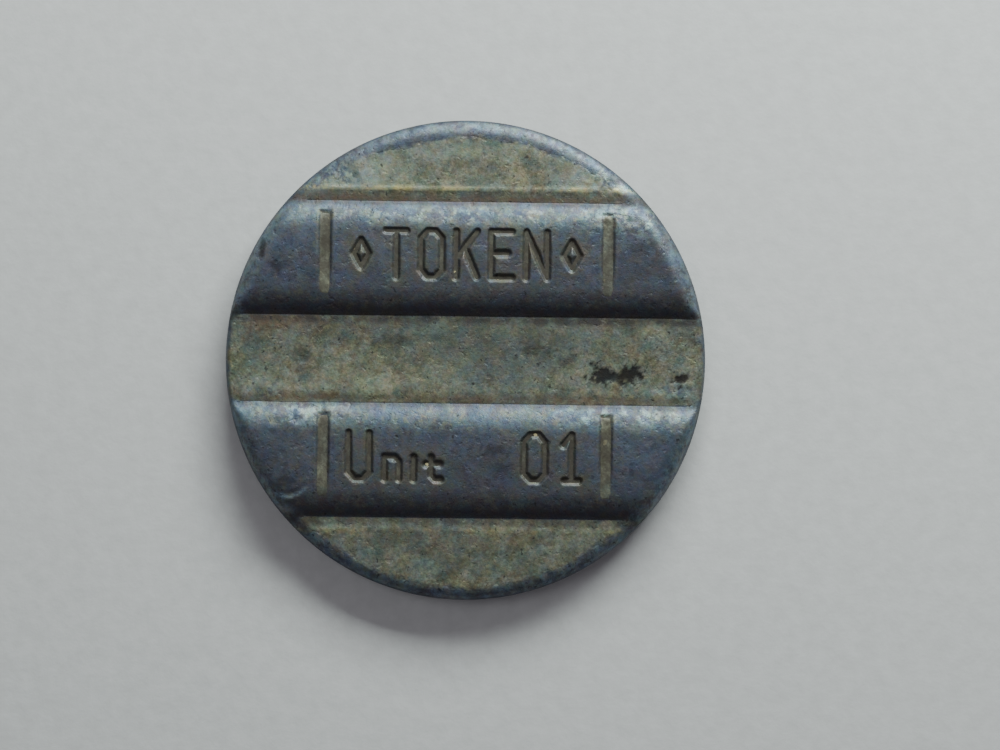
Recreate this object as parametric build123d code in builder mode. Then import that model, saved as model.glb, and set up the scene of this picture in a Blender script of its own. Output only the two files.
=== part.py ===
from build123d import *
import os

# A grooved coin-slot token. Each face has two raised bands that run from rim to rim,
# with a recess between them and one outside each of them, so that a slot with matching
# ribs lets it in. The token is struck from one zinc-alloy blank with a thin brass plating.
# Wear has taken the plating off the bands and the rim, and left it as separate islands on
# the floors of the recesses, of the struck bars and of the struck legend.
#
# Frame: the token lies on its back face. +Z is up out of the front face, +X runs along
# the bands, and the origin is under the token's centre, on the tops of the back bands.

# Driving dimensions, in millimetres
DIAMETER = 22.0
THICKNESS = 2.0  # over the bands of both faces
RIM_ROUNDING = 0.9  # worn round edge, full size at the ends of the bands
BAND_CENTRE = 4.61  # from the token's centre line to the middle of a band
BAND_WIDTH = 5.2  # foot to foot
BAND_HEIGHT = 0.45  # from a recess flat to the band's top
SHOULDER = 1.3  # rounded stretch on each side of the band's flat top
VALLEY_WIDTH = 0.5  # narrow dip along each foot of a band
VALLEY_DEPTH = 0.03
PLATING = 0.04
PLATED_RADIUS = 10.4  # outside it the plating is worn off the recess floors
STRUCK_DEPTH = 0.13  # of the bars and the legend, below the band's top
BAR_WIDTH = 0.55
BAR_LENGTH = 3.9
BAR_X = 6.45  # from the token's centre to each bar
STRIKE_SHIFT = 0.2  # bars and legend stand this far above the middle of their band
STROKE = 0.3  # width of a legend stroke
TALL = (1.25, 2.4)  # width and height of a capital or a figure
SMALL = (0.95, 1.3)  # and of a small letter
LOZENGE = (0.95, 1.5)
LETTER_PITCH = 1.6

# What follows from them
RADIUS = DIAMETER / 2
BAND_INNER = BAND_CENTRE - BAND_WIDTH / 2
BAND_OUTER = BAND_CENTRE + BAND_WIDTH / 2
FLAT = -BAND_HEIGHT  # levels are measured down from the band's top
FOOT = FLAT - VALLEY_DEPTH
BAR_CENTRES = [(x, y + STRIKE_SHIFT) for x in (-BAR_X, BAR_X) for y in (-BAND_CENTRE, BAND_CENTRE)]

# Each face has its own plane, on the tops of its bands, with local Y along the token's +Y, so
# that both faces read upright when the token is turned over about that axis
FACES = {
    "front": Plane.XY.offset(THICKNESS),
    "back": Plane(origin=(0, 0, 0), x_dir=(-1, 0, 0), z_dir=(0, 0, -1)),
}

# The strokes of each character, as runs of points in a box one wide and one high. A stroke that
# starts or ends on another stops short of its middle, which keeps its round end inside.
ROUND = [(0.3, 0), (0, 0.16), (0, 0.84), (0.3, 1), (0.7, 1), (1, 0.84), (1, 0.16), (0.7, 0), (0.3, 0)]
STROKES = {
    "T": [[(0, 1), (1, 1)], [(0.5, 0.97), (0.5, 0)]],
    "O": [ROUND],
    "K": [[(0, 0), (0, 1)], [(1, 1), (0.06, 0.45)], [(0.42, 0.63), (1, 0)]],
    "E": [[(1, 0), (0, 0), (0, 1), (1, 1)], [(0.06, 0.53), (0.8, 0.53)]],
    "N": [[(0, 0), (0, 1), (1, 0), (1, 1)]],
    "U": [[(0, 1), (0, 0.16), (0.3, 0), (0.7, 0), (1, 0.16), (1, 1)]],
    "n": [[(0, 0), (0, 1), (0.7, 1), (1, 0.8), (1, 0)]],
    "i": [[(0.5, 0), (0.5, 1)]],
    "t": [[(0.35, 1), (0.35, 0.2), (0.6, 0), (1, 0)], [(0, 0.7), (0.95, 0.7)]],
    "0": [ROUND],
    "1": [[(0.2, 0.78), (0.6, 1), (0.6, 0.03)], [(0.25, 0), (0.95, 0)]],
    "lozenge": [[(0.5, 0), (0, 0.5), (0.5, 1), (1, 0.5), (0.5, 0)]],
}

# The legend of each band: character, place of its middle along the band, and size
LEGENDS = {
    "upper": [
        (name, place * LETTER_PITCH, LOZENGE if name == "lozenge" else TALL)
        for place, name in enumerate(["lozenge", "T", "O", "K", "E", "N", "lozenge"], start=-3)
    ],
    "lower": [
        ("U", -4.8, TALL),
        ("n", -3.3, SMALL),
        ("i", -2.3, SMALL),
        ("t", -1.4, SMALL),
        ("0", 3.2, TALL),
        ("1", 4.8, TALL),
    ],
}
LEGEND_Y = {"upper": BAND_CENTRE + STRIKE_SHIFT, "lower": STRIKE_SHIFT - BAND_CENTRE}


def section_plane(face):
    """The plane across the bands: local X is the token's Y, and local Y is the face's outward way."""
    return Plane(origin=face.origin, x_dir=face.y_dir, z_dir=face.x_dir)


def legend_segments(band):
    """Both ends of every straight stroke in a band's legend, on the face's plane."""
    base = LEGEND_Y[band] - TALL[1] / 2 + STROKE / 2
    for name, middle, (width, height) in LEGENDS[band]:
        lift = (TALL[1] - height) / 2 if name == "lozenge" else 0
        for run in STROKES[name]:
            points = [
                Vector(middle + (x - 0.5) * (width - STROKE), base + lift + y * (height - STROKE))
                for x, y in run
            ]
            yield from zip(points, points[1:])


def write(part, name):
    """Labels a finished piece and writes it as one STEP file."""
    part.label = name
    export_step(part, f"parts/{name}.step")


def draw_legend(face, band, depth):
    """The legend's strokes, round-ended, on a plane that lies at the given depth below the bands' tops."""
    with BuildSketch(face.offset(-depth)) as legend:
        for start, end in legend_segments(band):
            run = end - start
            slope = Vector(1, 0).get_signed_angle(run, normal=Vector(0, 0, 1))
            with Locations((start + end) / 2):
                SlotCenterToCenter(run.length, STROKE, rotation=slope)
    return legend.sketch


def draw_bars(face, depth):
    """The four struck bars, on a plane at the given depth below the bands' tops."""
    with BuildSketch(face.offset(-depth)) as bars:
        with Locations(*BAR_CENTRES):
            Rectangle(BAR_WIDTH, BAR_LENGTH)
    return bars.sketch


def shoulder(top, foot):
    """The rounded side of a band: level where it leaves the flat top, steepest at the foot."""
    return TangentArc((top, 0), (foot, FOOT), tangent=(foot - top, 0))


# The struck token before its plating is told apart from its core
with BuildPart() as blank:
    Cylinder(RADIUS, THICKNESS, align=(Align.CENTER, Align.CENTER, Align.MIN))
    fillet(blank.edges().filter_by(GeomType.CIRCLE), RIM_ROUNDING)
    for face in FACES.values():
        with BuildSketch(section_plane(face)):
            with BuildLine():  # half of the middle recess
                Polyline((0, 0), (0, FLAT), (BAND_INNER - VALLEY_WIDTH, FLAT), (BAND_INNER, FOOT))
                shoulder(BAND_INNER + SHOULDER, BAND_INNER)
                Line((BAND_INNER + SHOULDER, 0), (0, 0))
            make_face()
            with BuildLine():  # one outer recess
                shoulder(BAND_OUTER - SHOULDER, BAND_OUTER)
                Polyline((BAND_OUTER, FOOT), (BAND_OUTER + VALLEY_WIDTH, FLAT), (DIAMETER, FLAT))
                Polyline((DIAMETER, FLAT), (DIAMETER, 0), (BAND_OUTER - SHOULDER, 0))
            make_face()
            mirror(about=Plane.YZ)
        extrude(amount=DIAMETER, both=True, mode=Mode.SUBTRACT)
    for face in FACES.values():
        extrude(draw_bars(face, 0), amount=STRUCK_DEPTH, dir=-face.z_dir, mode=Mode.SUBTRACT)
        for band in LEGENDS:
            extrude(draw_legend(face, band, 0), amount=STRUCK_DEPTH, dir=-face.z_dir, mode=Mode.SUBTRACT)

os.makedirs("parts", exist_ok=True)
plated = []

for side, face in FACES.items():
    # The plating on the recess floors follows the flat and the two valleys beside it
    floor = [(BAND_OUTER, FOOT), (BAND_OUTER + VALLEY_WIDTH, FLAT), (RADIUS, FLAT)]
    upper_outline = floor + [(y, level - PLATING) for y, level in reversed(floor)]
    half = [(BAND_INNER - VALLEY_WIDTH, FLAT), (BAND_INNER, FOOT)]
    middle = [(-y, level) for y, level in reversed(half)] + half
    outlines = {
        "upper_recess": upper_outline,
        "middle_recess": middle + [(y, level - PLATING) for y, level in reversed(middle)],
        "lower_recess": [(-y, level) for y, level in upper_outline],
    }
    for place, points in outlines.items():
        with BuildPart() as recess_plating:
            Cylinder(PLATED_RADIUS, THICKNESS, align=(Align.CENTER, Align.CENTER, Align.MIN))
            with BuildSketch(section_plane(face)):
                with BuildLine():
                    Polyline(*points, close=True)
                make_face()
            extrude(amount=DIAMETER, both=True, mode=Mode.INTERSECT)
        plated.append(recess_plating.part)
        write(recess_plating.part, f"{side}_{place}_plating")

    with BuildPart() as bar_plating:
        extrude(draw_bars(face, STRUCK_DEPTH), amount=PLATING, dir=-face.z_dir)
        add(blank.part, mode=Mode.INTERSECT)
    plated.append(bar_plating.part)
    write(bar_plating.part, f"{side}_bar_plating")

    for band in LEGENDS:
        with BuildPart() as legend_plating:
            extrude(draw_legend(face, band, STRUCK_DEPTH), amount=PLATING, dir=-face.z_dir)
        plated.append(legend_plating.part)
        write(legend_plating.part, f"{side}_{band}_legend_plating")

with BuildPart() as core:
    add(blank.part)
    for piece in plated:
        add(piece, mode=Mode.SUBTRACT)
write(core.part, "core")
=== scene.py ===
import math

import bmesh
import bpy
import numpy as np
from mathutils import Matrix, Vector, noise


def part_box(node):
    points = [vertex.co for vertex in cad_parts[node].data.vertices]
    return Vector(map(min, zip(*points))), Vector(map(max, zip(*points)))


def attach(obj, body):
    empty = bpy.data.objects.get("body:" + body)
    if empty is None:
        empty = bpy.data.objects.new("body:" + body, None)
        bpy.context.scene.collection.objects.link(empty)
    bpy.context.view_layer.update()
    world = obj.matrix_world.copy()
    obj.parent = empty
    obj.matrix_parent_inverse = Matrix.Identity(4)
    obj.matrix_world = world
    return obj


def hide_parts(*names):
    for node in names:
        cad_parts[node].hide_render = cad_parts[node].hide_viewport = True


# A grooved coin-slot token, struck from zinc alloy and thinly plated with brass. The relief of a
# face is worked out in millimetres on that face's own plan: u runs along the bands, v across
# them. The back is the same face turned half a turn about Y, with its own wear.

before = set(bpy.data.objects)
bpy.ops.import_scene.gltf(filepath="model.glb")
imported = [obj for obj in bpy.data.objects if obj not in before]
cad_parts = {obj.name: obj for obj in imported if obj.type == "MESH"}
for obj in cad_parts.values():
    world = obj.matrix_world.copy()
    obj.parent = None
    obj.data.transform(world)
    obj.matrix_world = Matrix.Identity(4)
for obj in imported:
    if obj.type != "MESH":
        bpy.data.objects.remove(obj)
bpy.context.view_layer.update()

MM = 0.001
_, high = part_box("core")
RADIUS = high.x / MM
THICKNESS = high.z / MM
MIDDLE = THICKNESS / 2

# The relief, in millimetres, as the token was struck
BAND_CENTRE = 4.61
BAND_WIDTH = 5.2
BAND_HEIGHT = 0.45
BAND_CROWN = 0.045  # how much the nearly flat top of a band falls away towards its shoulders
SHOULDER = 1.3
FOOT_FILLET = 0.12
VALLEY_WIDTH = 0.5
VALLEY_DEPTH = 0.03
STRUCK_DEPTH = 0.15
BAR_WIDTH = 0.55
BAR_LENGTH = 3.9
BAR_X = 6.45
STRIKE_SHIFT = 0.2
STROKE = 0.3
TALL = (1.25, 2.4)
SMALL = (0.95, 1.3)
LOZENGE = (0.95, 1.5)
LETTER_PITCH = 1.6
MIDDLE_DISH = 0.03  # how far the middle recess sinks along its middle line
STAIN_DEPTH = 0.035  # how far corrosion has eaten into the metal
RIM_START = 10.1  # the rim rounds off from here to the token's radius
FLOOR_END = 10.3  # the floors of the outer recesses start to roll over here
MIDDLE_FLOOR_END = 10.76  # and the middle recess is level almost to the edge
PLATING_END = 10.48  # the rim has worn through the plating about here
SHEET_END = RADIUS - 0.1  # the sheets of recess plating go on to here, under the core's surface
SHEET = 0.13  # thickness of those sheets
POCKET = 0.11  # depth of the core's pocket under them
UNDER_BAND = 0.14  # how far a sheet goes on under the foot of a band
BAR_SHEET = 0.03  # thickness of the plating on the bars' floors
DENT_AT = (-8.05, -5.3)  # middle of the round dent low on the front's left side
DENT_RADIUS = 1.05

BAND_INNER = BAND_CENTRE - BAND_WIDTH / 2
BAND_OUTER = BAND_CENTRE + BAND_WIDTH / 2
HALF_TOP = BAND_WIDTH / 2 - SHOULDER
SHOULDER_DROP = BAND_HEIGHT + VALLEY_DEPTH
SHOULDER_RADIUS = (SHOULDER ** 2 + SHOULDER_DROP ** 2) / (2 * SHOULDER_DROP)

# The strokes of each character, as runs of points in a box one wide and one high
ROUND = [(0.3, 0), (0, 0.16), (0, 0.84), (0.3, 1), (0.7, 1), (1, 0.84), (1, 0.16), (0.7, 0), (0.3, 0)]
STROKES = {
    "T": [[(0, 1), (1, 1)], [(0.5, 0.97), (0.5, 0)]],
    "O": [ROUND],
    "K": [[(0, 0), (0, 1)], [(1, 1), (0.06, 0.45)], [(0.42, 0.63), (1, 0)]],
    "E": [[(1, 0), (0, 0), (0, 1), (1, 1)], [(0.06, 0.53), (0.8, 0.53)]],
    "N": [[(0, 0), (0, 1), (1, 0), (1, 1)]],
    "U": [[(0, 1), (0, 0.16), (0.3, 0), (0.7, 0), (1, 0.16), (1, 1)]],
    "n": [[(0, 0), (0, 1), (0.7, 1), (1, 0.8), (1, 0)]],
    "i": [[(0.5, 0), (0.5, 1)]],
    "t": [[(0.35, 1), (0.35, 0.2), (0.6, 0), (1, 0)], [(0, 0.7), (0.95, 0.7)]],
    "0": [ROUND],
    "1": [[(0.2, 0.78), (0.6, 1), (0.6, 0.03)], [(0.25, 0), (0.95, 0)]],
    "lozenge": [[(0.5, 0), (0, 0.5), (0.5, 1), (1, 0.5), (0.5, 0)]],
}
LEGENDS = {
    BAND_CENTRE + STRIKE_SHIFT: [
        (name, place * LETTER_PITCH, LOZENGE if name == "lozenge" else TALL)
        for place, name in enumerate(["lozenge", "T", "O", "K", "E", "N", "lozenge"], start=-3)
    ],
    STRIKE_SHIFT - BAND_CENTRE: [
        ("U", -4.8, TALL),
        ("n", -3.3, SMALL),
        ("i", -2.3, SMALL),
        ("t", -1.4, SMALL),
        ("0", 3.2, TALL),
        ("1", 4.8, TALL),
    ],
}

# Knocks and pits of each face: place, radius and depth in millimetres, and the height of the
# metal thrown up round them. A negative depth stands up.
KNOCKS = {
    "front": [
        (10.0, -1.05, 0.16, -0.03, 0.0),
        (-2.75, -6.88, 0.1, 0.03, 0.015),
        (-9.3, 5.35, 0.09, 0.03, 0.0),
        (-9.35, 4.85, 0.08, 0.035, 0.0),
        (-8.9, 4.1, 0.1, 0.02, 0.0),
        (-8.35, 3.5, 0.08, 0.02, 0.0),
        (8.0, 4.75, 0.12, -0.02, 0.0),
        (8.9, 5.5, 0.09, -0.025, 0.0),
        (5.95, 6.1, 0.1, -0.03, 0.0),
        (7.5, 7.0, 0.22, 0.03, 0.03),
        (5.3, -9.55, 0.16, 0.04, 0.012),
        (-1.3, 1.75, 0.09, 0.03, 0.0),
        (-7.4, -0.1, 0.12, 0.03, 0.0),
        (-6.1, 0.55, 0.14, 0.025, 0.0),
        (-7.7, -2.8, 0.2, 0.03, 0.025),
        (-8.7, -2.9, 0.2, 0.02, 0.02),
        (-8.3, -4.3, 0.12, 0.02, 0.008),
        (-7.5, 3.9, 0.1, 0.025, 0.0),
        (-3.6, 6.3, 0.1, 0.02, 0.008),
        (2.2, -2.9, 0.12, 0.02, 0.01),
        (8.4, -3.6, 0.14, 0.025, 0.01),
        (7.7, -5.4, 0.1, 0.02, 0.0),
        (3.4, 6.1, 0.1, 0.02, 0.008),
    ],
    "back": [
        (3.1, -0.4, 0.2, 0.04, 0.01),
        (8.3, 5.2, 0.12, 0.03, 0.01),
        (-2.2, -9.0, 0.14, 0.04, 0.01),
        (1.2, 8.9, 0.12, 0.03, 0.01),
        (-8.6, -3.9, 0.1, 0.03, 0.0),
    ],
}

# Corroded spots of each face: place, half lengths along u and v, and darkness
STAINS = {
    "front": [
        (6.25, -0.63, 0.72, 0.44, 1.0),
        (7.5, -0.58, 0.72, 0.5, 1.0),
        (6.85, -0.72, 0.5, 0.3, 0.9),
        (9.85, -0.74, 0.4, 0.32, 1.0),
        (-7.5, 0.2, 0.55, 0.4, 0.45),
        (-3.2, 0.9, 0.9, 0.35, 0.4),
        (3.2, 0.5, 0.9, 0.3, 0.5),
        (4.6, 0.1, 0.5, 0.25, 0.4),
        (-1.2, 1.0, 0.5, 0.3, 0.35),
        (1.4, -4.1, 0.6, 0.3, 0.5),
        (1.9, -4.9, 0.5, 0.25, 0.45),
        (-8.1, -5.6, 0.7, 0.3, 0.5),
        (7.9, 5.2, 0.7, 0.3, 0.4),
        (-9.3, 4.9, 0.22, 0.5, 0.7),
        (-8.7, 4.2, 0.3, 0.35, 0.5),
    ],
    "back": [
        (-7.1, 0.6, 0.6, 0.35, 1.0),
        (-5.9, 0.5, 0.35, 0.25, 0.8),
        (2.5, -0.9, 1.1, 0.35, 0.5),
        (8.0, 5.0, 0.5, 0.35, 0.6),
        (1.0, -9.1, 0.5, 0.25, 0.7),
    ],
}

# Wide darker patches: place, half lengths along u and v, and strength. Most are tarnish; the long strip
# along the north half of the front's middle recess is painted shadow of the upper band
TARNISH_AND_SHADE = {
    "front": [
        (1.6, 0.2, 4.4, 1.6, 0.6),
        # painted shadow of the upper band across the north half of the middle recess
        (-0.5, 1.15, 8.5, 0.8, 0.4),
        (8.0, 4.4, 1.5, 0.9, 0.6),
        (0.3, -4.4, 1.8, 0.8, 0.5),
        (0.0, -8.6, 5.0, 1.2, 0.4),
        (-9.2, -4.4, 1.0, 1.2, 0.4),
    ],
    "back": [
        (-3.0, 0.0, 3.6, 1.4, 0.6),
        (5.0, -4.6, 2.2, 1.2, 0.5),
        (0.0, 8.8, 4.0, 1.2, 0.4),
    ],
}

# Patches where the brass is paler from handling, partly a painted highlight where the upper recess rolls
# over towards the light at its ends, and where it has gone brown
PALE_AND_LIT = {
    "front": [
        (-5.3, 8.5, 1.8, 0.8, 1.0),
        (5.9, 8.5, 1.6, 0.8, 0.9),
        (-1.0, 9.5, 3.0, 0.35, 0.3),
        (-9.6, -0.9, 0.8, 0.9, 0.3),
        (9.4, -1.35, 0.9, 0.3, 0.5),
        (-4.0, -1.0, 3.0, 0.5, 0.25),
    ],
    "back": [
        (4.4, 8.6, 2.0, 0.6, 0.6),
        (-6.5, -8.3, 1.2, 0.5, 0.4),
        (8.6, 0.5, 1.2, 0.8, 0.3),
    ],
}
BROWN = {
    "front": [
        (-8.8, 1.5, 1.4, 0.35, 0.8),
        (-4.6, 1.5, 1.6, 0.25, 0.45),
        (-7.6, -1.75, 2.2, 0.2, 0.8),
        (0.5, -1.75, 3.0, 0.16, 0.5),
        (6.0, -1.75, 2.4, 0.2, 0.7),
        (-0.6, -8.2, 4.5, 0.3, 0.4),
        (-5.6, 0.5, 0.5, 0.3, 0.6),
        (0.5, 7.33, 7.0, 0.13, 0.9),
        (-5.8, 7.45, 1.6, 0.2, 0.6),
    ],
    "back": [
        (6.0, 1.6, 2.4, 0.3, 0.7),
        (-2.0, -1.7, 3.0, 0.25, 0.6),
        (1.0, -8.0, 3.0, 0.3, 0.4),
    ],
}

# Stretches bruised by other tokens: middle, half lengths along u and v, and roughness
BRUISES = {
    "front": [
        (8.0, 6.5, 1.9, 0.6, 0.04),
        (0.0, 6.6, 6.5, 0.35, 0.014),
        (7.0, -2.5, 3.2, 0.45, 0.02),
        (-7.2, -2.45, 2.2, 0.5, 0.035),
        (6.7, 8.2, 1.5, 0.8, 0.035),
        (-5.9, 8.4, 1.5, 0.6, 0.02),
        (-9.2, -1.6, 0.9, 0.3, 0.008),
        (9.6, -1.35, 0.8, 0.28, 0.02),
    ],
    "back": [
        (-7.6, 6.4, 1.8, 0.5, 0.02),
        (5.5, -2.4, 2.6, 0.4, 0.018),
        (-3.5, -7.0, 2.0, 0.4, 0.015),
    ],
}
SEED = {"front": 3.7, "back": 41.3}


def ease(share):
    """Nothing below 0, everything above 1, and an even slope between."""
    share = np.clip(share, 0, 1)
    return share * share * (3 - 2 * share)


def lumps(u, v, size, seed, octaves=3):
    """Even random heights, about from -1 to 1, with lumps of the given size."""
    return np.array([noise.fractal((x / size, y / size, seed), 1.0, 2.0, octaves) for x, y in zip(u, v)])


def stroke_ends():
    """Both ends of every straight stroke of the two legends."""
    for middle, band in LEGENDS.items():
        base = middle - TALL[1] / 2 + STROKE / 2
        for name, place, (width, height) in band:
            lift = (TALL[1] - height) / 2 if name == "lozenge" else 0
            for run in STROKES[name]:
                points = [
                    (place + (x - 0.5) * (width - STROKE), base + lift + y * (height - STROKE))
                    for x, y in run
                ]
                yield from zip(points, points[1:])


def legend_distance(u, v):
    """How far a place is outside the nearest stroke of a legend: negative is inside it."""
    nearest = np.full(len(u), 99.0)
    for (ax, ay), (bx, by) in stroke_ends():
        length = (bx - ax) ** 2 + (by - ay) ** 2
        along = np.clip(((u - ax) * (bx - ax) + (v - ay) * (by - ay)) / length, 0, 1)
        nearest = np.minimum(nearest, np.hypot(u - ax - along * (bx - ax), v - ay - along * (by - ay)))
    return nearest - STROKE / 2


def bar_distance(u, v):
    """How far a place is outside the nearest struck bar."""
    across = np.abs(np.abs(u) - BAR_X) - BAR_WIDTH / 2
    along = np.abs(above_strike(v)) - BAR_LENGTH / 2
    return np.hypot(across.clip(0, None), along.clip(0, None)) + np.maximum(across, along).clip(None, 0)


def above_strike(v):
    """How far a place is above the middle line of the struck marks on its band."""
    return v - STRIKE_SHIFT - np.where(v > 0, BAND_CENTRE, -BAND_CENTRE)


def strike_distance(u, v):
    return np.minimum(legend_distance(u, v), bar_distance(u, v))


def band_level(v):
    """Height across a face, counted down from the tops of the bands."""
    off = np.abs(np.abs(v) - BAND_CENTRE)
    fall = np.clip(off - HALF_TOP, 0, SHOULDER_RADIUS)
    band = np.sqrt(SHOULDER_RADIUS ** 2 - fall ** 2) - SHOULDER_RADIUS - BAND_CROWN * ease(off / 1.9)
    past = off - BAND_WIDTH / 2
    recess = -BAND_HEIGHT - VALLEY_DEPTH * np.clip(1 - past / VALLEY_WIDTH, 0, 1)
    joining = np.clip(FOOT_FILLET - np.abs(band - recess), 0, None)
    return np.maximum(band, recess) + joining ** 2 / (4 * FOOT_FILLET)


def per_foot(v, values):
    """Picks a number for each foot of the two bands, from the lowest foot to the highest."""
    return np.choose(np.digitize(v, [-BAND_CENTRE, 0, BAND_CENTRE]), values)


def recess_lip(u, v, side):
    """Metal pushed up along the valleys of the outer recesses."""
    past = np.abs(np.abs(v) - BAND_CENTRE) - BAND_WIDTH / 2
    height = per_foot(v, [0.014, 0.0, 0.0, 0.034])
    height = height * (1 + 0.8 * lumps(u, np.sign(v) * 3, 1.2, SEED[side] + 13, 3))
    return height * np.exp(-((past - VALLEY_WIDTH - 0.08) / 0.1) ** 2)


def plating_inset(u, v, side):
    """How far a place is inside the ragged line where the rim has worn through the plating."""
    edge = PLATING_END + 0.22 * lumps(u, v, 1.6, SEED[side] + 9) + 0.12 * lumps(u, v, 0.4, SEED[side] + 11)
    edge += 0.2 * ease((2.6 - np.abs(v)) / 0.6) - 0.3 * ease((v - 8.2) / 2)
    return edge.clip(None, RADIUS - 0.28) - np.hypot(u, v)


def stain_share(u, v, side):
    """1 in the middle of a corroded spot, with a ragged edge."""
    ragged = 0.55 * lumps(u, v, 0.22, SEED[side] + 15)
    share = np.zeros(len(u))
    for stain_u, stain_v, long, wide, dark in STAINS[side]:
        gap = np.hypot((u - stain_u) / long, (v - stain_v) / wide)
        share = np.maximum(share, dark * ease((1.0 - gap + ragged * (gap + 0.3)) / 0.4))
    return share


def patches(table):
    """A rule that adds up the soft-edged patches of a table."""
    def share(u, v, side):
        total = np.zeros(len(u))
        for middle_u, middle_v, long, wide, strength in table[side]:
            total += strength * np.exp(-((u - middle_u) / long) ** 2 - ((v - middle_v) / wide) ** 2)
        return total.clip(0, 1)
    return share


def face_level(u, v, side):
    """The worn and knocked surface of a face, without its struck marks."""
    seed = SEED[side]
    level = band_level(v + 0.016 * lumps(u, v, 0.8, seed + 19, 2)) + recess_lip(u, v, side)
    level -= MIDDLE_DISH * (1 - (v / BAND_INNER) ** 2).clip(0, 1)
    on_band = ease((BAND_WIDTH / 2 - np.abs(np.abs(v) - BAND_CENTRE)) / 0.3)
    level += (0.014 - 0.008 * on_band) * lumps(u, v, 1.7, seed)
    level += (0.005 - 0.002 * on_band) * lumps(u, v, 0.35, seed + 5, 2)
    for middle_u, middle_v, long, wide, rough in BRUISES[side]:
        reach = np.exp(-((u - middle_u) / long) ** 2 - ((v - middle_v) / wide) ** 2)
        level += rough * reach * (lumps(u, v, 0.28, seed + 7, 2) - 0.35)
    level -= STAIN_DEPTH * ease(stain_share(u, v, side) - 0.3)
    for knock_u, knock_v, radius, depth, thrown in KNOCKS[side]:
        gap = np.hypot(u - knock_u, v - knock_v) / radius
        level += thrown * np.exp(-((gap - 1.5) / 0.5) ** 2) - depth * np.exp(-gap ** 2)
    on_rim = ease((np.hypot(u, v) - 9.9) / 0.6)
    nicks = 0.03 * ease(lumps(u, v, 0.6, seed + 27, 2) / 0.3 - 1)
    level -= on_rim * (0.012 * lumps(u, v, 0.3, seed + 25, 2) + nicks)
    if side == "front":
        level += 0.03 * crescent(u, v, 0, 0.07) - 0.05 * crescent(u, v, -0.16, 0.12)
    return level


def crescent(u, v, inward, width):
    """A line along the dent that the rim of another token left low on the front's left side."""
    bend = np.hypot(u - DENT_AT[0], v - DENT_AT[1]) - DENT_RADIUS
    return np.exp(-((bend - inward) / width) ** 2) * ease((-5.7 - v) / 0.4)


def struck_wall(u, v, side, distance):
    """1 on the floor of a struck mark and 0 outside it, with an edge that has crumbled a little."""
    crumbled = 0.016 * lumps(u, v, 0.3, SEED[side] + 17, 2)
    return ease((0.1 + crumbled - distance) / 0.22)


def struck_level(u, v, side):
    """The whole relief of a face. The bars follow their band and run out towards their ends."""
    along = above_strike(v) / (BAR_LENGTH / 2)
    bar_depth = STRUCK_DEPTH * (0.85 * ease((along + 1.05) / 1.1) - 0.4 * ease((along - 0.6) / 0.45))
    level = face_level(u, v, side) - bar_depth * struck_wall(u, v, side, bar_distance(u, v))
    return np.minimum(level, -STRUCK_DEPTH * struck_wall(u, v, side, legend_distance(u, v)))


def rounded(u, v, level):
    """Height of a face above the token's bed, with the rim's rounding over it."""
    r = np.where(np.hypot(u, v) > RADIUS - 1e-4, RADIUS, np.hypot(u, v))
    out = ((r - RIM_START) / (RADIUS - RIM_START)).clip(0, 1)
    floor_end = FLOOR_END + (MIDDLE_FLOOR_END - FLOOR_END) * ease((3.6 - np.abs(v)) / 1.4)
    past_floor = ((r - floor_end) / (RADIUS - floor_end)).clip(0, 1)
    rim = MIDDLE * np.sqrt(1 - out ** 2)
    face = (MIDDLE + level.clip(-1, 0)) * np.sqrt(1 - past_floor ** 2)
    reach = 0.12 * ease(out / 0.4) * ease((1 - out) / 0.3) + 1e-9
    joining = (reach - np.abs(rim - face)).clip(0, None)
    return MIDDLE + np.minimum(rim, face) - joining ** 2 / (4 * reach)


# Meshes

def spaced(*stops):
    """Places in rising order, from (place, cells up to the next place) pairs."""
    places = []
    for (start, cells), (end, _) in zip(stops, stops[1:]):
        places += [start + (end - start) * step / cells for step in range(cells)]
    return places + [stops[-1][0]]


def pole_rows(start, radius, cells):
    """Rows from a height up to the top of a round, even along its edge."""
    first = math.asin(start / radius)
    return [radius * math.sin(first + (math.pi / 2 - first) * step / cells) for step in range(1, cells + 1)]


def lay_rows(rows, columns, radius):
    """A flat grid in which each row ends on a round of the given radius."""
    bm = bmesh.new()
    bmesh.ops.create_grid(bm, x_segments=columns, y_segments=len(rows) - 1, size=1)
    for vert in bm.verts:
        row = rows[round((vert.co.y + 1) / 2 * (len(rows) - 1))]
        vert.co = (vert.co.x * math.sqrt(max(radius ** 2 - row ** 2, 0)), row, 0)
    bmesh.ops.remove_doubles(bm, verts=bm.verts[:], dist=1e-5)
    return bm


def refine(bm, wanted):
    """Cuts in four each face whose middle is wanted."""
    faces = bm.faces[:]
    middles = np.array([face.calc_center_median() for face in faces])
    chosen = wanted(middles[:, 0], middles[:, 1])
    edges = {edge for face, keep in zip(faces, chosen) if keep for edge in face.edges}
    bmesh.ops.subdivide_edges(bm, edges=list(edges), cuts=1, use_grid_fill=True)


def plan(bm):
    """The places of all vertices on the face's plan."""
    places = np.array([vert.co[:2] for vert in bm.verts])
    return places[:, 0], places[:, 1]


def lift(bm, heights):
    """Sets each vertex's height."""
    for vert, height in zip(bm.verts, heights):
        vert.co.z = height


def turn_rim(bm, steps):
    """Draws the edge of a round grid out and down to the token's greatest radius."""
    edge = [e for e in bm.edges if e.is_boundary]
    for step in range(1, steps + 1):
        radius = RIM_START + (RADIUS - RIM_START) * math.sin(math.pi / 2 * step / steps)
        drawn = bmesh.ops.extrude_edge_only(bm, edges=edge)["geom"]
        edge = [e for e in drawn if isinstance(e, bmesh.types.BMEdge) and e.is_boundary]
        for vert in {vert for e in edge for vert in e.verts}:
            out = vert.co.xy.normalized() * radius
            vert.co = (out.x, out.y, 0)


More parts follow.
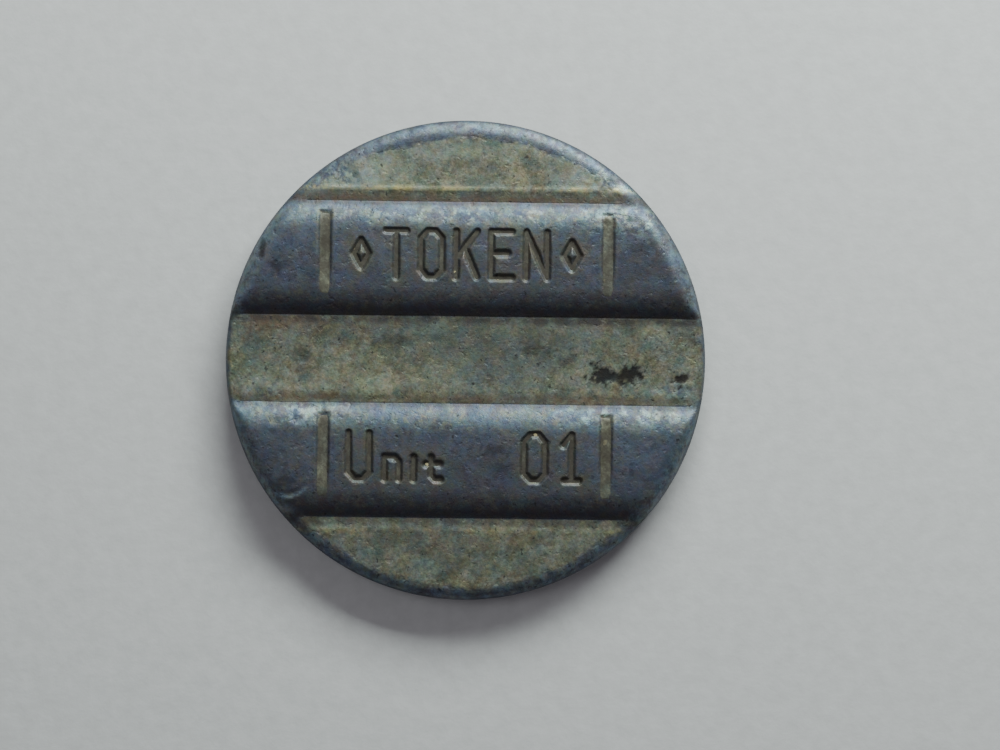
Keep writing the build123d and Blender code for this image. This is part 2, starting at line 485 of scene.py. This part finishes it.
def to_side(bm, side):
    """Turns a finished front face over onto the back if that is where it belongs."""
    if side == "back":
        turn = Matrix.Translation((0, 0, MIDDLE)) @ Matrix.Rotation(math.pi, 4, "Y")
        bmesh.ops.transform(bm, matrix=turn @ Matrix.Translation((0, 0, -MIDDLE)), verts=bm.verts[:])


def token_face(side, steps):
    """One face of the core with its half of the rim."""
    half = spaced(
        (0, 4),
        (BAND_INNER - VALLEY_WIDTH, 3),
        (BAND_INNER, 6),
        (BAND_INNER + SHOULDER, 12),
        (BAND_OUTER - SHOULDER, 6),
        (BAND_OUTER, 3),
        (BAND_OUTER + VALLEY_WIDTH, 1),
    )
    half += pole_rows(BAND_OUTER + VALLEY_WIDTH, RIM_START, 22)
    rows = [-row for row in reversed(half[1:])] + half
    bm = lay_rows(rows, 84, RIM_START)
    refine(bm, lambda u, v: (np.abs(v) > BAND_INNER - 0.2) & (np.abs(v) < BAND_OUTER + 0.2))
    refine(bm, lambda u, v: strike_distance(u, v) < 0.16)
    if side == "front":
        refine(bm, lambda u, v: np.abs(strike_distance(u, v)) < 0.05)
    turn_rim(bm, steps)
    u, v = plan(bm)
    level = struck_level(u, v, side)
    off_band = np.abs(np.abs(v) - BAND_CENTRE) - BAND_WIDTH / 2
    pocket = ease((plating_inset(u, v, side) - 0.15) / 0.2) * ease((off_band - 0.02) / 0.15)
    lift(bm, rounded(u, v, level - POCKET * pocket))
    to_side(bm, side)
    return bm


def recess_plating(side, place):
    """The plating left on one recess's floor: a thin sheet that dips into the core at its edge."""
    if place == "middle":
        half = spaced((0, 16), (1.3, 9), (BAND_INNER + UNDER_BAND, 1))
        rows = [-row for row in reversed(half[1:])] + half
    else:
        rows = spaced((BAND_OUTER - UNDER_BAND, 10), (8.1, 9), (9.0, 1))
        rows += pole_rows(9.0, SHEET_END, 34)[:-3]  # the last rows would be too fine to keep apart
    bm = lay_rows(rows, 260 if place == "middle" else 190, SHEET_END)
    if place == "lower":
        bmesh.ops.rotate(bm, cent=(0, 0, 0), matrix=Matrix.Rotation(math.pi, 3, "Z"), verts=bm.verts[:])
    u, v = plan(bm)
    off_band = np.abs(np.abs(v) - BAND_CENTRE) - BAND_WIDTH / 2
    level = face_level(u, v, side)
    floor = -BAND_HEIGHT - VALLEY_DEPTH + off_band * 0.15
    level = np.where(off_band < 0, floor, level)
    inset = plating_inset(u, v, side)
    proud = 0.005 * ease(inset / 0.2) - 0.03 * ease(-inset / 0.12)
    lift(bm, rounded(u, v, level + proud))
    bmesh.ops.recalc_face_normals(bm, faces=bm.faces[:])
    bmesh.ops.solidify(bm, geom=bm.faces[:], thickness=SHEET)
    to_side(bm, side)
    return bm


def bar_plating(side):
    """The plating left on the floors of the four struck bars."""
    bm = bmesh.new()
    for middle_u in (-BAR_X, BAR_X):
        for middle_v in (STRIKE_SHIFT - BAND_CENTRE, STRIKE_SHIFT + BAND_CENTRE):
            size = Matrix.Diagonal((BAR_WIDTH / 2, BAR_LENGTH / 2, 1, 1))
            place = Matrix.Translation((middle_u, middle_v, 0)) @ size
            bmesh.ops.create_grid(bm, x_segments=11, y_segments=70, size=1, matrix=place)
    u, v = plan(bm)
    inset = -0.045 - bar_distance(u, v) + 0.03 * lumps(u, v, 0.3, SEED[side] + 23)
    inset -= 0.1 * ease(np.abs(above_strike(v)) / 0.3 - BAR_LENGTH / 0.6 + 1)
    proud = 0.004 * ease(inset / 0.05) - 0.03 * ease(-inset / 0.04)
    lift(bm, rounded(u, v, struck_level(u, v, side) + proud))
    bmesh.ops.recalc_face_normals(bm, faces=bm.faces[:])
    bmesh.ops.solidify(bm, geom=bm.faces[:], thickness=BAR_SHEET)
    to_side(bm, side)
    return bm


def finish_piece(bm, name, nodes, material):
    """Turns a mesh's faces outwards, brings it to metres and hangs it on the token."""
    bmesh.ops.recalc_face_normals(bm, faces=bm.faces[:])
    bmesh.ops.scale(bm, vec=(MM, MM, MM), verts=bm.verts[:])
    for face in bm.faces:
        face.smooth = True
    mesh = bpy.data.meshes.new(name)
    bm.to_mesh(mesh)
    bm.free()
    mesh.materials.append(material)
    piece = bpy.data.objects.new(name, mesh)
    bpy.context.scene.collection.objects.link(piece)
    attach(piece, "root")
    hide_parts(*nodes)
    for mark_name, rule in WEAR.items():
        mark(piece, mark_name, by_side(piece, rule))
    return piece


def mark(piece, name, values):
    """Keeps one number for each vertex, for the piece's material."""
    layer = piece.data.attributes.new(name, "FLOAT", "POINT")
    layer.data.foreach_set("value", np.asarray(values, np.float32))


def by_side(piece, rule):
    """Works a rule of (u, v, side) out over a piece that has both faces."""
    count = len(piece.data.vertices)
    places = np.zeros(count * 3, np.float32)
    piece.data.vertices.foreach_get("co", places)
    x, y, z = places.reshape(-1, 3).T.astype(float) / MM
    front = z >= MIDDLE
    values = np.zeros(count)
    values[front] = rule(x[front], y[front], "front")
    values[~front] = rule(-x[~front], y[~front], "back")
    return values


# Rules for the marks that the materials read

def struck_share(u, v, side):
    legend = struck_wall(u, v, side, legend_distance(u, v))
    bar = struck_wall(u, v, side, bar_distance(u, v)) * ease((above_strike(v) / (BAR_LENGTH / 2) + 1) / 0.3)
    return np.maximum(legend, bar)


def struck_rim(u, v, side):
    return np.exp(-((strike_distance(u, v) - 0.08) / 0.05) ** 2)


def between_strokes(u, v, side):
    return np.exp(-(legend_distance(u, v).clip(0, None) / 0.42) ** 2)


# Worn shoulders of the bands, with painted highlight: the shoulders that face up the token, towards the
# light, get more than twice as much as those that face down.
def rubbed_and_lit_share(u, v, side):
    off = np.abs(np.abs(v) - BAND_CENTRE)
    return np.where(v > np.sign(v) * BAND_CENTRE, 0.55, 0.25) * np.exp(-((off - 1.9) / 0.6) ** 2)


def bruised_share(u, v, side):
    share = np.zeros(len(u))
    for middle_u, middle_v, long, wide, _ in BRUISES[side]:
        share += np.exp(-((u - middle_u) / long) ** 2 - ((v - middle_v) / wide) ** 2)
    return share.clip(0, 1)


def polished_share(u, v, side):
    dent = crescent(u, v, 0, 0.08) if side == "front" else 0
    return (0.8 * ease((np.hypot(u, v) - 10.05) / 0.6) + dent).clip(0, 1)


# Painted shade on the outermost edge of the rim, which dulls the pale floor's bright reflection there.
def edge_painted_shade_share(u, v, side):
    return ease((np.hypot(u, v) - 10.84) / 0.13)


# Painted shadow and dirt along the feet of the bands, strongest below each band, where its shadow falls.
def foot_shadow_and_dirt_share(u, v, side):
    past = np.abs(np.abs(v) - BAND_CENTRE) - BAND_WIDTH / 2
    share = np.where(past < 0, np.exp(-(past / 0.14) ** 2), np.exp(-((past - 0.2) / 0.26) ** 2))
    return share * per_foot(v, [0.9, 0.4, 1.2, 0.75])


# Painted highlight along the crest of the pushed-up metal beside the valleys, strongest on the upper
# recess.
def lip_highlight_share(u, v, side):
    past = np.abs(np.abs(v) - BAND_CENTRE) - BAND_WIDTH / 2
    return per_foot(v, [0.3, 0.0, 0.0, 0.9]) * np.exp(-((past - VALLEY_WIDTH - 0.12) / 0.09) ** 2)


def painted_lee_shade_share(u, v, side):
    """Painted shade: the sides of the bands that face down the token, away from the light, are darkened and
    tinted purple.
    """
    below = np.sign(v) * BAND_CENTRE - v
    return ease((below - 0.8) / 1.0) * (below < BAND_WIDTH / 2)


def plated_share(u, v, side):
    off_band = np.abs(np.abs(v) - BAND_CENTRE) - BAND_WIDTH / 2
    reach = 0.4 + 0.22 * ease((2.6 - np.abs(v)) / 0.6)
    return ease((plating_inset(u, v, side) + reach) / 0.9) * ease((off_band + 0.03) / 0.15)


# One number for each vertex of the core and the platings, by the name that the material reads
WEAR = {
    "struck": struck_share,
    "struck_rim": struck_rim,
    "between_strokes": between_strokes,
    "rubbed": rubbed_and_lit_share,
    "bruised": bruised_share,
    "polished": polished_share,
    "edge": edge_painted_shade_share,
    "foot": foot_shadow_and_dirt_share,
    "lip": lip_highlight_share,
    "grime": painted_lee_shade_share,
    "plated": plated_share,
    "stain": stain_share,
    "tarnish": patches(TARNISH_AND_SHADE),
    "pale": patches(PALE_AND_LIT),
    "brown": patches(BROWN),
}


# Materials

class Nodes:
    """Short ways to set out a material's nodes. Patterns are in millimetres on the object."""

    def __init__(self, name):
        self.material = bpy.data.materials.new(name)
        self.material.use_nodes = True
        self.tree = self.material.node_tree
        self.shader = self.tree.nodes["Principled BSDF"]
        place = self.add("ShaderNodeTexCoord")
        scale = self.add("ShaderNodeMapping")
        scale.inputs["Scale"].default_value = (1 / MM, 1 / MM, 1 / MM)
        self.link(place.outputs["Object"], scale.inputs["Vector"])
        self.place = scale.outputs["Vector"]

    def add(self, kind, **settings):
        node = self.tree.nodes.new(kind)
        for key, value in settings.items():
            setattr(node, key, value)
        return node

    def link(self, output, socket):
        self.tree.links.new(output, socket)

    def feed(self, value, socket):
        if isinstance(value, bpy.types.NodeSocket):
            self.link(value, socket)
        else:
            socket.default_value = value

    def mark(self, name):
        return self.add("ShaderNodeAttribute", attribute_name=name).outputs["Fac"]

    def stretch(self, scale, turn=0.0):
        node = self.add("ShaderNodeMapping")
        node.inputs["Scale"].default_value = scale
        node.inputs["Rotation"].default_value = (0, 0, turn)
        self.link(self.place, node.inputs["Vector"])
        return node.outputs["Vector"]

    def clouds(self, per_mm, detail=4.0, roughness=0.6, distortion=0.0, shift=0.0, place=None):
        node = self.add("ShaderNodeTexNoise", noise_dimensions="4D")
        node.inputs["Scale"].default_value = per_mm
        node.inputs["W"].default_value = shift
        node.inputs["Detail"].default_value = detail
        node.inputs["Roughness"].default_value = roughness
        node.inputs["Distortion"].default_value = distortion
        self.link(place or self.place, node.inputs["Vector"])
        return node.outputs["Fac"]

    def between(self, value, low, high, start=0.0, end=1.0):
        node = self.add("ShaderNodeMapRange", interpolation_type="SMOOTHSTEP")
        self.feed(value, node.inputs["Value"])
        for key, number in (("From Min", low), ("From Max", high), ("To Min", start), ("To Max", end)):
            node.inputs[key].default_value = number
        return node.outputs["Result"]

    def sum(self, operation, a, b):
        node = self.add("ShaderNodeMath", operation=operation)
        self.feed(a, node.inputs[0])
        self.feed(b, node.inputs[1])
        return node.outputs[0]

    def blend(self, share, a, b, way="MIX"):
        node = self.add("ShaderNodeMix", data_type="RGBA", blend_type=way)
        self.feed(share, node.inputs["Factor"])
        for value, socket in ((a, node.inputs[6]), (b, node.inputs[7])):
            self.feed(value if isinstance(value, bpy.types.NodeSocket) else (*value, 1), socket)
        return node.outputs[2]

    def broken(self, name, pattern, low, high, start=0.0, end=1.0):
        """The share of a mark that is left where a pattern breaks it up."""
        return self.sum("MULTIPLY", self.mark(name), self.between(pattern, low, high, start, end))

    def bump(self, height, depth_mm, strength=1.0, under=None):
        node = self.add("ShaderNodeBump")
        node.inputs["Strength"].default_value = strength
        node.inputs["Distance"].default_value = depth_mm * MM
        self.link(height, node.inputs["Height"])
        if under is not None:
            self.link(under, node.inputs["Normal"])
        return node.outputs["Normal"]


def zinc_tone(n, flecks):
    """The blue-grey of bare zinc alloy with its tarnish, and painted shade: darker and purple on the sides
    of the bands that face away from the light.
    """
    mottle = n.clouds(1.1, 6, 0.65, 0.6, shift=2)
    colour = n.blend(n.between(mottle, 0.35, 0.68), (0.078, 0.086, 0.117), (0.12, 0.137, 0.168))
    colour = n.blend(n.between(n.clouds(0.28, 3, shift=3), 0.42, 0.62, 0, 0.5), colour, (0.1, 0.112, 0.135))
    olive = n.between(n.clouds(2.3, 5, 0.7, 0.4, shift=12), 0.52, 0.64, 0, 0.55)
    colour = n.blend(olive, colour, (0.125, 0.13, 0.108))
    colour = n.blend(n.between(flecks, 0.5, 0.64, 0, 0.65), colour, (0.05, 0.05, 0.068))
    # tarnish, and the edge of the painted shadow below the upper band
    colour = n.blend(n.sum("MULTIPLY", n.mark("tarnish"), 0.75), colour, (0.066, 0.066, 0.072))
    brown = n.between(n.clouds(0.9, 6, 0.7, 0.4, shift=7), 0.54, 0.7, 0, 0.5)
    colour = n.blend(brown, colour, (0.088, 0.072, 0.064))
    # painted shade: darker, purple sides of the bands that face down the token, away from the light
    return n.blend(n.sum("MULTIPLY", n.mark("grime"), 0.9), colour, (0.076, 0.067, 0.077))


def worn_metal():
    """Zinc alloy where it is bare, dull brass where the plating is left, and the wear on both."""
    n = Nodes("worn_plated_zinc")
    flecks = n.clouds(3.4, 5, 0.75, 0.4, shift=11)
    zinc = zinc_tone(n, flecks)
    # a little brass is left between the letters, and dirt in the marks below
    near = n.broken("between_strokes", n.clouds(1.3, 5, shift=14), 0.38, 0.6, 0.1, 0.8)
    zinc = n.blend(near, zinc, (0.118, 0.118, 0.098))
    # worn shoulders of the bands, brighter and with a brassy film, plus painted highlight on the shoulders
    # that face the light
    rubbed = n.broken("rubbed", n.clouds(2.6, 7, 0.8, shift=4), 0.36, 0.64)
    zinc = n.blend(rubbed, zinc, (0.14, 0.215, 0.235))
    film_and_highlight = n.broken("rubbed", n.clouds(2.2, 6, 0.75, 0.3, shift=36), 0.5, 0.6)
    zinc = n.blend(film_and_highlight, zinc, (0.22, 0.235, 0.165))
    polished = n.broken("polished", n.clouds(2.0, 7, 0.8, 0.4, shift=13), 0.4, 0.6)
    zinc = n.blend(polished, zinc, (0.19, 0.245, 0.27))
    rim = n.broken("struck_rim", n.clouds(1.4, 4, shift=5), 0.42, 0.6, 0, 0.5)
    zinc = n.blend(rim, zinc, (0.135, 0.13, 0.1))
    zinc = n.blend(n.sum("MULTIPLY", n.mark("struck"), 0.85), zinc, (0.105, 0.098, 0.074))
    brass, grain, mottle = patina(n, 20)
    # tarnish, and painted shadow along the north half of the middle recess
    brass = n.blend(n.sum("MULTIPLY", n.mark("tarnish"), 0.8), brass, (0.09, 0.108, 0.105))
    # paler brass from handling, and painted highlight at the ends of the front's upper recess near the rim
    pale = n.broken("pale", n.clouds(1.5, 6, 0.75, shift=34), 0.3, 0.6, 0.2, 1)
    brass = n.blend(pale, brass, (0.43, 0.47, 0.37))
    # the same ragged border between the two metals on the core as on the plating
    ragged = n.sum("MULTIPLY", n.sum("SUBTRACT", n.clouds(1.9, 7, 0.75, 0.3, shift=29), 0.5), 1.6)
    left = n.between(n.sum("ADD", n.mark("plated"), ragged), 0.2, 0.8)
    colour = n.blend(left, zinc, brass)
    # bruises leave bright metal and dark dents side by side
    bright = n.broken("bruised", n.clouds(2.4, 5, 0.65, 0.3, shift=31), 0.48, 0.58, 0, 0.8)
    colour = n.blend(bright, colour, (0.31, 0.4, 0.37))
    dark = n.broken("bruised", n.clouds(1.7, 5, 0.65, 0.3, shift=32), 0.5, 0.58, 0, 0.8)
    colour = n.blend(dark, colour, (0.075, 0.088, 0.115))
    # painted shadow and dirt along the feet of the bands, darkest below them
    foot = n.broken("foot", n.clouds(1.4, 5, shift=28), 0.3, 0.62, 0.25, 0.95)
    colour = n.blend(foot, colour, (0.066, 0.063, 0.056))
    brown = n.broken("brown", n.clouds(1.4, 6, 0.75, shift=35), 0.34, 0.6, 0.1, 0.9)
    colour = n.blend(brown, colour, (0.15, 0.098, 0.068))
    # painted highlight along the pushed-up lips of the outer recesses
    lip = n.broken("lip", n.clouds(0.8, 6, 0.75, shift=40), 0.44, 0.6)
    colour = n.blend(lip, colour, (0.46, 0.42, 0.2))
    # painted shade on the outermost edge of the rim, dulling its reflection of the pale floor
    edge = n.broken("edge", n.clouds(1.2, 6, 0.7, shift=33), 0.35, 0.6, 0.45, 0.95)
    colour = n.blend(edge, colour, (0.045, 0.052, 0.072))
    colour = n.blend(n.sum("MULTIPLY", n.mark("stain"), 0.95), colour, (0.02, 0.019, 0.018))
    warm = n.between(n.clouds(1.9, 6, 0.75, 0.3, shift=37), 0.36, 0.64)
    colour = n.blend(1.0, colour, n.blend(warm, (0.88, 1.0, 1.14), (1.13, 1.0, 0.86)), "MULTIPLY")
    green = n.between(n.clouds(2.3, 6, 0.75, 0.3, shift=38), 0.36, 0.64)
    colour = n.blend(1.0, colour, n.blend(green, (1.06, 0.95, 1.05), (0.94, 1.05, 0.96)), "MULTIPLY")
    specks = n.between(n.clouds(5.0, 2, 0.5, shift=30), 0.65, 0.71, 0, 0.75)
    colour = n.blend(specks, colour, (0.033, 0.032, 0.034))
    n.link(colour, n.shader.inputs["Base Color"])
    pits = n.between(n.clouds(3.1, 2, 0.5, 0.2, shift=41), 0.58, 0.7)
    rough = n.between(n.sum("ADD", mottle, n.sum("MULTIPLY", grain, 0.5)), 0.5, 1.0, 0.46, 0.64)
    n.link(n.sum("ADD", rough, n.sum("MULTIPLY", foot, 0.15)), n.shader.inputs["Roughness"])
    n.link(n.between(left, 0, 1, 0.7, 0.6), n.shader.inputs["Metallic"])
    scratch = n.clouds(1.0, 3, 0.6, shift=9, place=n.stretch((0.9, 14, 1), 0.25))
    normal = n.bump(scratch, 0.004, 0.6)
    normal = n.bump(mottle, 0.03, 0.8, normal)
    normal = n.bump(flecks, 0.022, 0.9, normal)
    normal = n.bump(grain, 0.014, 0.8, normal)
    normal = n.bump(n.sum("SUBTRACT", 1.0, pits), 0.012, 0.8, normal)
    n.link(normal, n.shader.inputs["Normal"])
    return n.material


def patina(n, shift):
    """The mottled colours of dull brass, and its grain."""
    grain = n.clouds(8, 5, 0.7, shift=shift + 1)
    mottle = n.clouds(1.3, 6, 0.7, 0.5, shift=shift + 2)
    slow = n.clouds(0.35, 3, 0.55, shift=shift + 3)
    colour = n.blend(n.between(mottle, 0.36, 0.64), (0.165, 0.168, 0.105), (0.33, 0.34, 0.24))
    colour = n.blend(n.between(slow, 0.4, 0.62, 0, 0.6), colour, (0.22, 0.25, 0.215))
    green = n.between(n.clouds(0.8, 5, 0.65, 0.3, shift=shift + 4), 0.52, 0.65, 0, 0.65)
    colour = n.blend(green, colour, (0.12, 0.17, 0.15))
    brown = n.between(n.clouds(1.0, 6, 0.7, 0.5, shift=shift + 5), 0.54, 0.67, 0, 0.6)
    colour = n.blend(brown, colour, (0.135, 0.1, 0.06))
    gold = n.between(n.clouds(2.2, 5, 0.7, shift=shift + 6), 0.59, 0.71, 0, 0.65)
    colour = n.blend(gold, colour, (0.42, 0.38, 0.22))
    fine = n.between(grain, 0.35, 0.65, 0.55, 1.0)
    shade = n.add("ShaderNodeCombineColor")
    for socket in shade.inputs:
        n.link(fine, socket)
    colour = n.blend(0.85, colour, shade.outputs[0], "MULTIPLY")
    return colour, grain, mottle


def struck_brass(name, dirt_least, dirt_most, sparks):
    n = Nodes(name)
    colour, grain, mottle = patina(n, 60)
    dirt = n.between(n.clouds(1.6, 5, 0.7, shift=69), 0.36, 0.58, dirt_least, dirt_most)
    colour = n.blend(dirt, colour, (0.095, 0.084, 0.067))
    spark = n.between(n.clouds(2.6, 3, 0.5, shift=70), 0.66, 0.7, 0, sparks)
    colour = n.blend(spark, colour, (0.75, 0.66, 0.36))
    n.link(colour, n.shader.inputs["Base Color"])
    n.link(n.between(mottle, 0.3, 0.7, 0.42, 0.62), n.shader.inputs["Roughness"])
    n.shader.inputs["Metallic"].default_value = 0.6
    normal = n.bump(mottle, 0.03, 0.8)
    normal = n.bump(grain, 0.014, 0.8, normal)
    n.link(normal, n.shader.inputs["Normal"])
    return n.material


def pale_paper():
    n = Nodes("pale_floor")
    fibre = n.clouds(1.2, 5, 0.6, shift=90)
    colour = n.blend(n.between(fibre, 0.3, 0.7), (0.68, 0.68, 0.66), (0.74, 0.74, 0.72))
    n.link(colour, n.shader.inputs["Base Color"])
    n.shader.inputs["Roughness"].default_value = 0.9
    n.link(n.bump(fibre, 0.05, 0.5), n.shader.inputs["Normal"])
    return n.material


# The token

METAL = worn_metal()
BAR_BRASS = struck_brass("bar_floor_brass", 0.3, 0.85, 0.15)
LEGEND_BRASS = struck_brass("legend_floor_brass", 0.65, 1.0, 1.0)

core = token_face("front", 10)
turned = token_face("back", 10)
held = bpy.data.meshes.new("turned_face")
turned.to_mesh(held)
turned.free()
core.from_mesh(held)
bpy.data.meshes.remove(held)
bmesh.ops.remove_doubles(core, verts=core.verts[:], dist=0.003)  # the two faces meet here
core = finish_piece(core, "token_core", ["core"], METAL)

for side in ("front", "back"):
    for place in ("upper", "middle", "lower"):
        node = f"{side}_{place}_recess_plating"
        finish_piece(recess_plating(side, place), f"{node}_sheet", [node], METAL)
    node = f"{side}_bar_plating"
    finish_piece(bar_plating(side), f"{node}_sheet", [node], BAR_BRASS)
    for place in ("upper_legend", "lower_legend"):
        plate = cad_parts[f"{side}_{place}_plating"]
        plate.data.materials.clear()
        plate.data.materials.append(LEGEND_BRASS)

# Floor, light and camera

floor_mesh = bpy.data.meshes.new("floor")
floor_bm = bmesh.new()
bmesh.ops.create_grid(floor_bm, x_segments=1, y_segments=1, size=0.6)
floor_bm.to_mesh(floor_mesh)
floor_bm.free()
floor = bpy.data.objects.new("floor", floor_mesh)
floor_mesh.materials.append(pale_paper())
bpy.context.scene.collection.objects.link(floor)


def soft_light(name, place, size, power, colour):
    """A rectangular soft light that faces the token."""
    lamp = bpy.data.lights.new(name, "AREA")
    lamp.shape = "RECTANGLE"
    lamp.size, lamp.size_y = size
    lamp.energy = power
    lamp.color = colour
    holder = bpy.data.objects.new(name, lamp)
    holder.location = place
    holder.rotation_euler = (-Vector(place)).to_track_quat("-Z", "Y").to_euler()
    bpy.context.scene.collection.objects.link(holder)


soft_light("window", (0.038, 0.115, 0.062), (0.11, 0.045), 0.36, (0.91, 1.0, 0.99))
soft_light("ceiling", (-0.2, 0.1, 0.4), (0.2, 0.2), 0.2, (0.93, 0.97, 1.0))

world = bpy.data.worlds.new("room")
world.use_nodes = True
world.node_tree.nodes["Background"].inputs["Color"].default_value = (0.92, 0.88, 1.0, 1)
world.node_tree.nodes["Background"].inputs["Strength"].default_value = 0.14
bpy.context.scene.world = world

camera_data = bpy.data.cameras.new("camera")
camera_data.lens = 85
camera_data.sensor_width = 36
camera_data.clip_start = 0.005
camera = bpy.data.objects.new("camera", camera_data)
camera.location = (0.00159, -0.00066, 0.1094)
camera.rotation_euler = (0, 0, math.radians(0.7))
bpy.context.scene.collection.objects.link(camera)
bpy.context.scene.camera = camera

bpy.context.view_layer.update()
